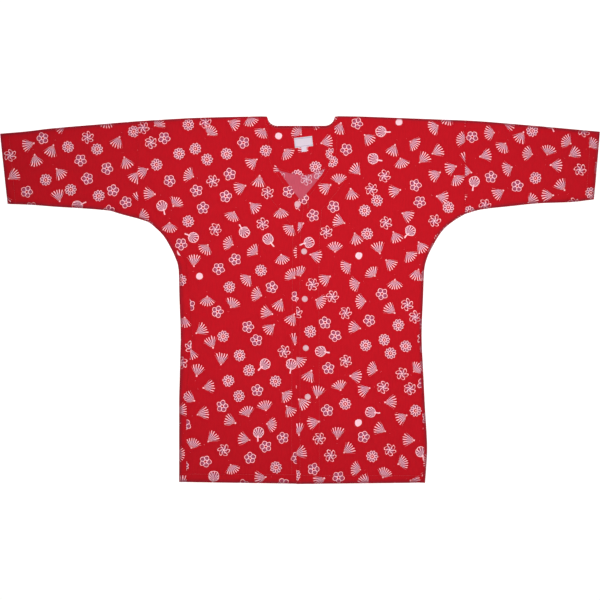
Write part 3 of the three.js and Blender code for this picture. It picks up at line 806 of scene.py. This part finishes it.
def sleeve_tube(rows, shift):
    """A sleeve: section k runs from its seam on the lower fold up over the top to the upper fold, and
    back underneath, flat on the surface."""
    end = rows[-1]["k"]
    k = np.concatenate([SEAM_STEPS, np.linspace(18, end - CUFF_STEPS[0], 62)[:-1], end - CUFF_STEPS])
    top, low = place_at(rows, k, "top_"), place_at(rows, k, "low_")
    length = np.linalg.norm(top - low, axis=1)[:, None]
    up = (top - low) / length
    shares = np.concatenate([[0.004, 0.012], np.linspace(0.024, 0.976, 44), [0.988, 0.996]])
    reach = ROUND + (length - 2 * ROUND) * shares
    upper = flat_cloth(low[:, None] + up[:, None] * reach[..., None], TOP, 1)
    lower = flat_cloth(low[:, None] + up[:, None] * reach[:, ::-1, None], 0.0, -1)
    half = len(FOLD_TURNS) // 2
    out, facing, _ = beside(
        rounded(low, up, FOLD_TURNS[half:], FOLD_TURNS[half:]),
        upper,
        rounded(top, -up, FOLD_TURNS[::-1], FOLD_TURNS),
        lower,
        rounded(low, up, FOLD_TURNS[:half], FOLD_TURNS[:half]),
    )
    on_top = facing[..., 2] > 0.99
    reach = np.linalg.norm(out[..., :2] - low[:, None], axis=-1)
    from_cuff, from_seam = (end - k)[:, None], k[:, None]
    hem = band(from_cuff, CUFF) + np.zeros_like(reach)
    calm = ease(reach / 30) * ease((length - reach) / 30)
    calm = calm * ease((from_cuff - CUFF) / 25) * ease(from_seam / 25)
    rise = (
        LOFT * ease(reach / LOFT_REACH) * ease((length - reach) / LOFT_REACH)
        + relief(out[..., :2]) * calm
        + 0.25 * band(from_seam, ALLOWANCE)
        + 0.4 * groove(from_seam, 1.0)
        + HEM_RISE * hem + STITCH_DIP * groove(from_cuff - CUFF + TURN_STITCH, STITCH_WIDTH)
        + pucker(reach, from_cuff - CUFF + TURN_STITCH) * ease(reach / 10) * ease((length - reach) / 10)
    )
    out[..., 2] += rise * on_top
    out = out - facing * (SOFT * ease(1 - from_cuff / 0.8))[..., None]
    around = np.cumsum(np.linalg.norm(np.diff(out, axis=1, append=out[:, :1]), axis=-1), 1)
    around = np.concatenate([np.zeros_like(low[:, :1]), around], 1)
    cut = np.stack([np.concatenate([out[..., 0], out[:, :1, 0]], 1), low[:, 1:] + around], -1)
    # Painted shade beside both folds and the cuff, where the rolled cloth turns away from the light.
    edge_shade = painted_edge_shade(apart(out, low), apart(out, top), from_cuff)
    return out, facing, CLOTH + TURNED * hem, cut + np.array(shift), edge_shade


sleeve_grids = {
    "sleeve_right": sleeve_tube(RIGHT_SLEEVE, (-90, 33)),
    "sleeve_left": sleeve_tube(LEFT_SLEEVE, (64, -148)),
}
for name, grid in sleeve_grids.items():
    sleeve = solid(name + "_tube", [shell(*grid, ring=True)], [right_side, wrong_side])
    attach(sleeve, "root")
    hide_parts(name)

# ------------------------------------------------------------------------------ back neck facing
# A shaped strip of the same cotton, right side out, sewn into the neck. Its upper edge is the neck's
# and its lower one, a shallow bow, is turned under and stitched to the back. Its ends lie under the
# fronts.
# k is the x of a point on the lower edge.
BOW = headed(
    "k y",
    (-80, 300),
    (-60, 270),
    (-30, 256),
    (7, 250),
    (38, 258),
    (66, 272),
    (84, 300),
)
FACING_LOW, FACING_HIGH = 1.85, 2.45  # height of its right side at the lower edge and under the label
UPPER_ENDS, LOWER_ENDS, ENDS_Y = (-86, 90), (-80, 84), 363  # x of its corners, and y of the upper ones
NECK_BEGIN = 5.4  # the section at which the neck's edge begins
around_neck = np.linspace(NECK_BEGIN, BACK_HALVES_MEET, 40)
neck_right, neck_left = place_at(RIGHT["back"], around_neck), place_at(LEFT["back"], around_neck[::-1])
ends = [[[x, ENDS_Y]] for x in UPPER_ENDS]
neck_edge = np.concatenate([ends[0], neck_right, neck_left[1:], ends[1]])
upper_x, lower_x = np.linspace(*UPPER_ENDS, 110), np.linspace(*LOWER_ENDS, 110)
upper_edge = np.stack([upper_x, np.interp(upper_x, neck_edge[:, 0], neck_edge[:, 1]) - 0.15], -1)
lower_edge = np.stack([lower_x, column_at(BOW, "y", lower_x)], -1)
depth = np.linalg.norm(upper_edge - lower_edge, axis=1)[:, None]
near_edge = np.array([0, 0.15, 0.4, 0.9, 1.6, 2.3, 3, 3.7, 4.5, 5.3, 6.2, 8])
shares = np.linspace(0, 1, 26)[1:-1]
below_neck = np.concatenate([
    np.tile(near_edge, (len(upper_x), 1)),
    near_edge[-1] + (depth - 2 * near_edge[-1]) * shares,
    depth - near_edge[::-1],
], 1)
strip = upper_edge[:, None] + ((lower_edge - upper_edge) / depth)[:, None] * below_neck[..., None]
above_bow = depth - below_neck
BOW_STITCH, NECK_STITCH = 3, 5.3
strip_height = (
    FACING_LOW + (FACING_HIGH - FACING_LOW) * ease(above_bow / 26) * (1 - 0.4 * ease(1 - below_neck / 12))
    + 0.14 * groove(above_bow - BOW_STITCH, 0.7) + 0.2 * groove(below_neck - NECK_STITCH, 0.7)
    + pucker(strip[..., 0], above_bow - BOW_STITCH) * 0.8
    + pucker(strip[..., 0], below_neck - NECK_STITCH) * 0.6
    - 0.3 * ease(1 - above_bow / 0.8) - 0.3 * ease(1 - below_neck / 0.8)
    + 0.15 * np.sin(strip[..., 0] / 13 + 0.8) * ease(above_bow / 12) * ease(below_neck / 12)
)
strip_out, strip_facing, strip_cut = flat_cloth(strip, strip_height, 1)
strip_thickness = CLOTH + 0.35 * band(above_bow, 6)
strip_cut = strip_cut + np.array([158, 61])
# Painted shade beside the neck edge, where the rolled cloth turns away from the light.
facing_grid = (strip_out, strip_facing, strip_thickness, strip_cut, painted_edge_shade(below_neck))
neck_facing = solid("neck_facing", [shell(*facing_grid)], [right_side, wrong_side])
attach(neck_facing, "root")
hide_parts("back_neck_facing")

# ---------------------------------------------------------------------------- label and size tab
# A label of white woven polyester tape, sewn to the facing at both ends, a little askew, with a
# small tab of the same tape caught under its lower edge. Both are plain, with a narrow woven border.
LABEL = dict(x=7, y=316, width=36.4, height=20, turn=math.radians(6.5))
TAB = dict(along=-0.8, width=10.6, height=11.6, drop=9.7)
TAPE = 0.4  # thickness of the tape
TAPE_TOP = 3.1


def woven_tape(name, white, border):
    """Smooth polyester satin tape: fine ribs 0.35 mm apart, and inside both long edges of the label a
    line of coloured weft 0.7 mm wide. The cut is measured from the label's middle."""
    material, tree, shader = new_material(name)
    place = add(tree, "Mapping", {"Vector": add(tree, "UVMap", uv_map="cut"), "Scale": (1000,) * 3})
    up = add(tree, "SeparateXYZ", [place], output=1)
    off = add(tree, "Math", [up], operation="ABSOLUTE")
    line = add(tree, "Math", [off, LABEL["height"] / 2 - 2.2, 0.35], operation="COMPARE")
    soil = add(tree, "TexNoise", {"Vector": place, "Scale": 0.4, "Detail": 4.0})
    soil = add(tree, "MapRange", {"Value": soil, "To Min": 0.93, "To Max": 1.03})
    colour = add(tree, "Mix", {0: line, 6: linear(white), 7: linear(border)}, output=2, data_type="RGBA")
    colour = add(tree, "VectorMath", {0: colour, "Scale": soil}, operation="SCALE")
    ribs = add(tree, "TexWave", {"Vector": place, "Scale": 0.875, "Distortion": 0.3}, output=1,
               bands_direction="X")
    bump = add(tree, "Bump", {"Strength": 0.4, "Distance": 0.0001, "Height": ribs})
    feed(shader, {"Base Color": colour, "Normal": bump, "Roughness": 0.6,
                  "Specular IOR Level": 0.2, "Sheen Weight": 0.1})
    return material


tape = woven_tape("woven polyester tape", "#d8c9d6", "#9c8ba3")


def laid(place, spot):
    """Places measured from a thing's own middle, turned and moved to where it lies."""
    c, s = math.cos(spot["turn"]), math.sin(spot["turn"])
    return place @ np.array([[c, s], [-s, c]]) + np.array([spot["x"], spot["y"]])


def tape_grid(width, height, middle, top, curl):
    """A piece of tape as a grid of columns and rows, closer together at its edges. Its corners curl up,
    and its edges are softly rounded."""
    fine = np.array([0, 0.12, 0.35, 0.8, 1.5])
    wide = np.concatenate([fine, np.linspace(2.3, width - 2.3, 30), width - fine[::-1]]) - width / 2
    high = np.concatenate([fine, np.linspace(2.3, height - 2.3, 16), height - fine[::-1]]) - height / 2
    place = np.stack(np.meshgrid(wide, high, indexing="ij"), -1)
    beyond = np.abs(place) / np.array([width / 2, height / 2])
    from_edge = np.minimum(width / 2 - np.abs(place[..., 0]), height / 2 - np.abs(place[..., 1]))
    lifted = top + curl * (beyond[..., 0] * beyond[..., 1]) ** 3 - 0.15 * ease(1 - from_edge / 0.6)
    lifted = lifted + 0.08 * np.sin(place[..., 0] / 3.1) * (1 - beyond[..., 1] ** 2)
    out, facing, _ = flat_cloth(laid(place + middle, LABEL), lifted, 1)
    return out, facing, np.full(place.shape[:2], TAPE), place + middle, np.zeros(place.shape[:2])


label_grid = tape_grid(LABEL["width"], LABEL["height"], np.zeros(2), TAPE_TOP, 0.5)
tab_middle = np.array([TAB["along"], -LABEL["height"] / 2 - TAB["drop"] + TAB["height"] / 2])
tab_grid = tape_grid(TAB["width"], TAB["height"], tab_middle, TAPE_TOP - TAPE - 0.02, 0)
for name, grid, node in (("label_tape", label_grid, "neck_label"), ("tab_tape", tab_grid, "size_tab")):
    piece = solid(name, [shell(*grid)], [tape])
    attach(piece, "root")
    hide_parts(node)

# --------------------------------------------------------------------------------------- buttons
# Five turned buttons of pearly polyester with four holes, sewn to the right front with thread that
# crosses between the holes. The first is undone and lies beside the left front's edge.
BUTTON_RADIUS, BUTTON_THICK = 5.75, 2.2
RIM, DISH = 1.1, 0.5  # width of the raised rim, and depth of the middle below it
HOLE_RADIUS, HOLE_PITCH = 0.75, 2.4
BUTTONS = [
    dict(x=-5.2, y=191, fastened=False, turn=0.5),
    dict(x=8.2, y=97, fastened=True, turn=0.2),
    dict(x=9.6, y=2, fastened=True, turn=1.1),
    dict(x=11.6, y=-96, fastened=True, turn=-0.3),
    dict(x=15.4, y=-193.5, fastened=True, turn=0.8),
]
AROUND = np.linspace(0, 2 * math.pi, 97)[:-1]


def pearl(name, base):
    """Polished cast polyester with pearl pigment: cloudy swirls 3 to 5 mm long, and a clear gloss."""
    material, tree, shader = new_material(name)
    place = add(tree, "Mapping", {"Vector": add(tree, "TexCoord", output=3), "Scale": (1000,) * 3})
    swirl = add(tree, "TexNoise", {"Vector": place, "Scale": 0.35, "Detail": 3.0, "Distortion": 1.6})
    cloud = add(tree, "MapRange", {"Value": swirl, "From Min": 0.35, "From Max": 0.65,
                                   "To Min": 0.9, "To Max": 1.04})
    colour = add(tree, "VectorMath", {0: linear(base)[:3], "Scale": cloud}, operation="SCALE")
    gloss = add(tree, "MapRange", {"Value": swirl, "To Min": 0.34, "To Max": 0.5})
    feed(shader, {"Base Color": colour, "Roughness": gloss, "IOR": 1.52, "Specular IOR Level": 0.3,
                  "Subsurface Weight": 0.15, "Subsurface Radius": (0.002, 0.0015, 0.0015),
                  "Subsurface Scale": 1.0})
    return material


def round_grid(radius, height):
    """A profile of radii and heights turned about the Z axis."""
    level = np.stack([np.cos(AROUND), np.sin(AROUND)], -1)
    return points(radius[:, None, None] * level, height[:, None])


def closed_grid(grid):
    """The part (vertices, quads, cut, slots, painted edge shade, here none) of a grid whose columns close on
    themselves.
    """
    rows, columns = grid.shape[:2]
    index = np.arange(rows)[:, None] * columns + np.arange(columns + 1) % columns
    faces, vertices = quads(index), grid.reshape(-1, 3)
    return vertices, faces, vertices[faces][..., :2], np.zeros(len(faces), int), np.zeros(len(vertices))


def button_part(spot, base):
    """A button on its back at height base: a smooth profile from the middle of its face out over the
    rim and round to the middle of its back, with four pits for the holes."""
    bevel = 0.5
    dish = np.concatenate([[0, 0.3, 0.6], np.arange(0.8, 2.75, 0.13), [3, 3.4, 3.8, 4.1]])
    slope = np.linspace(0, 1, 7)
    corner = np.linspace(0, math.pi / 2, 7)
    radius = np.concatenate([
        dish, BUTTON_RADIUS - RIM - bevel + bevel * slope,
        BUTTON_RADIUS - bevel + bevel * np.sin(corner), BUTTON_RADIUS - bevel + bevel * np.cos(corner),
        [3, 0],
    ])
    top = BUTTON_THICK - bevel + bevel * np.cos(corner)
    low = bevel - bevel * np.sin(corner)
    height = np.concatenate([
        np.full(len(dish), BUTTON_THICK - DISH) + 0.012 * dish**2, BUTTON_THICK - DISH + DISH * ease(slope),
        top, low, [0, 0],
    ])
    grid = round_grid(radius, height)
    holes = np.array([[a, b] for a in (-1, 1) for b in (-1, 1)]) * HOLE_PITCH / 2
    off = np.linalg.norm(grid[..., None, :2] - holes, axis=-1).min(-1)
    facing_up = np.arange(len(radius))[:, None] < len(dish)
    grid[..., 2] -= 1.2 * ease((HOLE_RADIUS + 0.12 - off) / 0.24) * facing_up
    grid[..., :2] = laid(grid[..., :2], spot)
    grid[..., 2] += base
    return closed_grid(grid)


def tube(path, radius, sides=8, loop=False):
    """A closed tube along a path: rings square to it, which shrink to a point at its ends unless the
    path is a loop, whose last point is its first."""
    ahead = np.gradient(path, axis=0)
    if loop:
        ahead[[0, -1]] = path[1] - path[-2]
    ahead = unit(ahead)
    side = unit(np.cross(ahead, [0.02, 0.03, 1]))
    over = np.cross(side, ahead)
    angle = np.linspace(0, 2 * math.pi, sides + 1)[:-1, None]
    size = np.broadcast_to(radius, len(path)).astype(float)
    size[[0, -1]] *= loop
    ring = side[:, None] * np.cos(angle) + over[:, None] * np.sin(angle)
    return closed_grid(path[:, None] + ring * size[:, None, None])


def spun_thread(name, base):
    """Spun polyester sewing thread: matt and hairy, with two plies twisted every 0.8 mm."""
    material, tree, shader = new_material(name)
    place = add(tree, "Mapping", {"Vector": add(tree, "TexCoord", output=3), "Scale": (1000,) * 3})
    ply = add(tree, "TexWave", {"Vector": place, "Scale": 0.4, "Distortion": 1.5}, output=1,
              bands_direction="DIAGONAL")
    shade = add(tree, "MapRange", {"Value": ply, "To Min": 0.82, "To Max": 1.06})
    colour = add(tree, "VectorMath", {0: linear(base)[:3], "Scale": shade}, operation="SCALE")
    bump = add(tree, "Bump", {"Strength": 0.5, "Distance": 0.0001, "Height": ply})
    feed(shader, {"Base Color": colour, "Normal": bump, "Roughness": 0.7,
                  "Specular IOR Level": 0.25, "Sheen Weight": 0.15})
    return material


pearly = pearl("pearly cast polyester", "#dca9b2")
pale_thread = spun_thread("pale sewing thread", "#d4b4bc")
red_thread = spun_thread("red sewing thread", "#b3141f")
button_threads = []
for number, spot in enumerate(BUTTONS, 1):
    base = TOP + 0.3 + LAYER * spot["fastened"]
    button = solid(f"button_{number}_turned", [button_part(spot, base)], [pearly])
    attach(button, "root")
    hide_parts(f"button_{number}")
    # Two strands through each pair of holes, which cross in the middle.
    turn = spot["turn"]
    bend = np.linspace(-1, 1, 15)
    for cross in (1, -1):
        for strand in (-0.28, 0.28):
            a = turn + cross * math.pi / 4
            reach = HOLE_PITCH / math.sqrt(2) * bend
            place = np.stack([spot["x"] + reach * math.cos(a) - strand * math.sin(a),
                              spot["y"] + reach * math.sin(a) + strand * math.cos(a)], -1)
            rise = base + BUTTON_THICK - DISH + 0.25 * (cross > 0)
            rise = rise + 0.5 * (1 - bend**4) - 0.9 * np.abs(bend) ** 7
            button_threads.append(tube(points(place, rise), 0.3))
    # The shank: thread wound between the button and the cloth.
    shank_height = np.array([base - 0.35, base - 0.34, base + 0.1, base + 0.11])
    shank = round_grid(np.array([0, 1.5, 1.5, 0]), shank_height)
    shank[..., :2] += np.array([spot["x"], spot["y"]])
    button_threads.append(closed_grid(shank))
sewn_on = solid("button_threads", button_threads, [pale_thread])
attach(sewn_on, "root")

# ----------------------------------------------------------------------------------- buttonholes
# Five upright buttonholes in the left front, cut and bound with close satin stitches of red thread.
# The empty one lies level with the undone button.
BUTTONHOLE = dict(half_length=6.6, half_width=0.85, cord=0.5, stitches=75)
EMPTY = dict(x=16, y=190)


def height_at(grid, x, y):
    """The height of the grid's nearest point to a place."""
    off = np.hypot(grid[0][..., 0] - x, grid[0][..., 1] - y)
    return grid[0][..., 2].ravel()[off.argmin()]


buttonholes = []
for spot in (EMPTY, *BUTTONS[1:]):
    t = np.linspace(0, 2 * math.pi, 150)
    bound = np.stack([
        spot["x"] + BUTTONHOLE["half_width"] * np.cos(t),
        spot["y"] + BUTTONHOLE["half_length"] * np.sign(np.sin(t)) * np.abs(np.sin(t)) ** 0.6,
    ], -1)
    satin = BUTTONHOLE["cord"] * (1 + 0.12 * np.sin(BUTTONHOLE["stitches"] * t))
    bound = points(bound, height_at(left_grid, spot["x"], spot["y"]) + 0.05)
    buttonholes.append(tube(bound, satin, 6, loop=True))
holes = solid("buttonhole_thread", buttonholes, [red_thread])
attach(holes, "root")

# ---------------------------------------------------------------------------------------- stitches
# Lines of lockstitch in thread of the cloth's colour hold the turned edges: hems, cuffs, the fronts'
# edges and facings, and the neck. The label is sewn down with pale thread. A stitch is 2.5 mm long.
STITCH, STITCH_PITCH, THREAD = 2.5, 3.2, 0.3


def on_grid(grid, rows, columns):
    """Points of a grid at places between its rows and columns, each the mean of the four around it
    weighed by nearness."""
    rows, columns = np.broadcast_arrays(np.asarray(rows, float), np.asarray(columns, float))
    i = np.clip(rows.astype(int), 0, grid.shape[0] - 2)
    j = np.clip(columns.astype(int), 0, grid.shape[1] - 2)
    u, v = (rows - i)[:, None], (columns - j)[:, None]
    low = grid[i, j] * (1 - v) + grid[i, j + 1] * v
    high = grid[i + 1, j] * (1 - v) + grid[i + 1, j + 1] * v
    return low * (1 - u) + high * u


def seam(grid, rows, columns):
    """The start and end points of the stitches along a line over a grid."""
    line = on_grid(grid[0], rows, columns)
    along = travelled(line)
    start = np.arange(0.4, along[-1] - STITCH, STITCH_PITCH)
    ends = start[:, None] + np.array([0, STITCH])
    return np.stack([np.interp(ends, along, line[:, axis]) for axis in range(3)], -1)


def stitched(name, seams, material, slot="printed_cloth"):
    """One mesh of all the stitches of some seams: each is a six-sided bar with tapered ends that dips
    into the cloth at both ends and stands proud between."""
    ends = np.concatenate(seams)
    count = len(ends)
    ahead = unit(ends[:, 1] - ends[:, 0])
    side = unit(np.cross(ahead, [0, 0, 1]))[:, None, None]
    over = np.cross(side, ahead[:, None, None])
    share = np.array([0, 0.15, 0.85, 1])[:, None]
    middle = ends[:, :1] * (1 - share) + ends[:, 1:] * share
    middle[..., 2] += [-0.1, 0.12, 0.12, -0.1]
    angle = np.arange(6) * math.pi / 3
    size = THREAD * np.array([0.5, 1, 1, 0.5])[:, None, None]
    ring = side * np.cos(angle)[:, None] + over * np.sin(angle)[:, None]
    vertices = (middle[:, :, None] + ring * size).reshape(-1, 3)
    first = np.arange(count * 24).reshape(count, 4, 6)
    after = np.roll(first, -1, axis=2)
    sides = np.stack([first[:, :-1], after[:, :-1], after[:, 1:], first[:, 1:]], -1).reshape(-1, 4)
    caps = [first[:, 0][:, order] for order in ([3, 2, 1, 0], [5, 4, 3, 0])]
    caps += [first[:, 3][:, order] for order in ([0, 1, 2, 3], [0, 3, 4, 5])]
    faces = np.concatenate([sides, *caps])
    slots, edge_shade = np.zeros(len(faces), int), np.zeros(len(vertices))
    piece = solid(name, [(vertices, faces, vertices[faces][..., :2], slots, edge_shade)], [material])
    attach(piece, "root")


section_number = np.arange(len(sections))
at_hem = np.interp(LAST - (HEM - TURN_STITCH) / SECTION_PITCH, sections, section_number)
edge_column = len(EDGE_REACHES) + np.interp(EDGE_STITCH, NEAR, np.arange(len(NEAR)))
facing_column = len(EDGE_REACHES) + np.interp(FACING - 1.5, NEAR, np.arange(len(NEAR)))
hem_lines = []
for grid in (right_grid, left_grid):
    hem_lines.append(seam(grid, at_hem, np.linspace(5, grid[0].shape[1] - 2, 300)))
for grid in back_grids:
    columns = grid[0].shape[1]
    hem_lines.append(seam(grid, at_hem, np.linspace(columns - len(WRAP_SHARES), columns - 1.5, 20)))
stitched("hem_stitches", hem_lines, red_thread)

UPPER_SIDE = (2, 58)  # the columns of a sleeve that lie on top
cuff_lines = []
for grid in sleeve_grids.values():
    from_end = np.interp(CUFF - TURN_STITCH, CUFF_STEPS[::-1], np.arange(len(CUFF_STEPS)))
    cuff_row = grid[0].shape[0] - 1 - from_end
    cuff_lines.append(seam(grid, cuff_row, np.linspace(*UPPER_SIDE, 200)))
stitched("cuff_stitches", cuff_lines, red_thread)

STITCHED_FROM, STITCHED_TO = 5.06, 10.6  # sections between which the right front's edge shows
neck_end, open_end = np.interp([STITCHED_FROM, STITCHED_TO], sections, section_number)
bottom = section_number[-1] - 0.5
edge_lines = [
    seam(left_grid, np.linspace(neck_end, bottom, 900), edge_column),
    seam(right_grid, np.linspace(neck_end, open_end, 300), edge_column),
    seam(left_grid, np.linspace(neck_end + 20, at_hem, 900), facing_column),
    seam(right_grid, np.linspace(neck_end + 20, at_hem, 900), facing_column),
]
stitched("front_edge_stitches", edge_lines, red_thread)

strip_rows = np.linspace(6, len(upper_x) - 7, 300)
bow_column = below_neck.shape[1] - 1 - np.interp(BOW_STITCH, near_edge, np.arange(len(near_edge)))
neck_column = np.interp(NECK_STITCH, near_edge, np.arange(len(near_edge)))
stitched("neck_facing_stitches",
         [seam(facing_grid, strip_rows, bow_column), seam(facing_grid, strip_rows, neck_column)], red_thread)

label_rows, label_columns = label_grid[0].shape[:2]
label_lines = [seam(label_grid, row, np.linspace(4, label_columns - 5, 40)) for row in (4, label_rows - 5)]
stitched("label_stitches", label_lines, pale_thread, "label_tape")

# ------------------------------------------------------------------------------- floor and light
# A white table that glows a little, so it stays white to its corners, and an even white sky. A large
# soft light hangs straight above with a grid that narrows its beam, so the cuffs and the hem get less
# of it, and a weaker one stands beyond the right shoulder. The camera looks straight down, and its
# frame is as wide as the shirt from cuff to cuff.
FLOOR_SIDE = 44
SPAN = 1.2
FLOOR_DROP = 0.0003  # m, so that it stays clear of the cloth
paper, tree, shader = new_material("matt white paper")
mottle = add(tree, "TexNoise", {"Scale": 30.0, "Detail": 3.0})
shade = add(tree, "MapRange", {"Value": mottle, "To Min": 0.28, "To Max": 0.3})
feed(shader, {"Base Color": shade, "Roughness": 0.9, "Specular IOR Level": 0.1,
              "Emission Color": (1, 1, 1, 1), "Emission Strength": 0.87})
table = bpy.data.meshes.new("floor")
half = FLOOR_SIDE / 2
corners = [(x, y, -FLOOR_DROP) for x, y in ((-half, -half), (half, -half), (half, half), (-half, half))]
table.from_pydata(corners, [], [(0, 1, 2, 3)])
table.materials.append(paper)
floor = bpy.data.objects.new("floor", table)
bpy.context.scene.collection.objects.link(floor)

world = bpy.data.worlds.new("white sky")
bpy.context.scene.world = world
world.use_nodes = True
world.node_tree.nodes["Background"].inputs["Color"].default_value = (1, 1, 1, 1)
world.node_tree.nodes["Background"].inputs["Strength"].default_value = 0.17

for name, side, power, spread, place, tilt in (
    ("overhead softbox", 1.3, 7.4, 44, (0.13, 0.12, 3.1), (0, 0)),
    ("side softbox", 1.6, 16, 180, (-1.6, 1.8, 2.4), (-45, -33)),
):
    light = bpy.data.lights.new(name, "AREA")
    light.shape = "SQUARE"
    light.size = side
    light.energy = power
    light.spread = math.radians(spread)
    lamp = bpy.data.objects.new(name, light)
    lamp.location = place
    lamp.rotation_euler = (math.radians(tilt[0]), math.radians(tilt[1]), 0)
    bpy.context.scene.collection.objects.link(lamp)

camera_data = bpy.data.cameras.new("camera")
camera_data.lens = 85
camera = bpy.data.objects.new("camera", camera_data)
camera.location = (0, 0, SPAN * camera_data.lens / camera_data.sensor_width + TOP / 1000)
bpy.context.scene.collection.objects.link(camera)
bpy.context.scene.camera = camera
bpy.context.scene.view_settings.view_transform = "Standard"
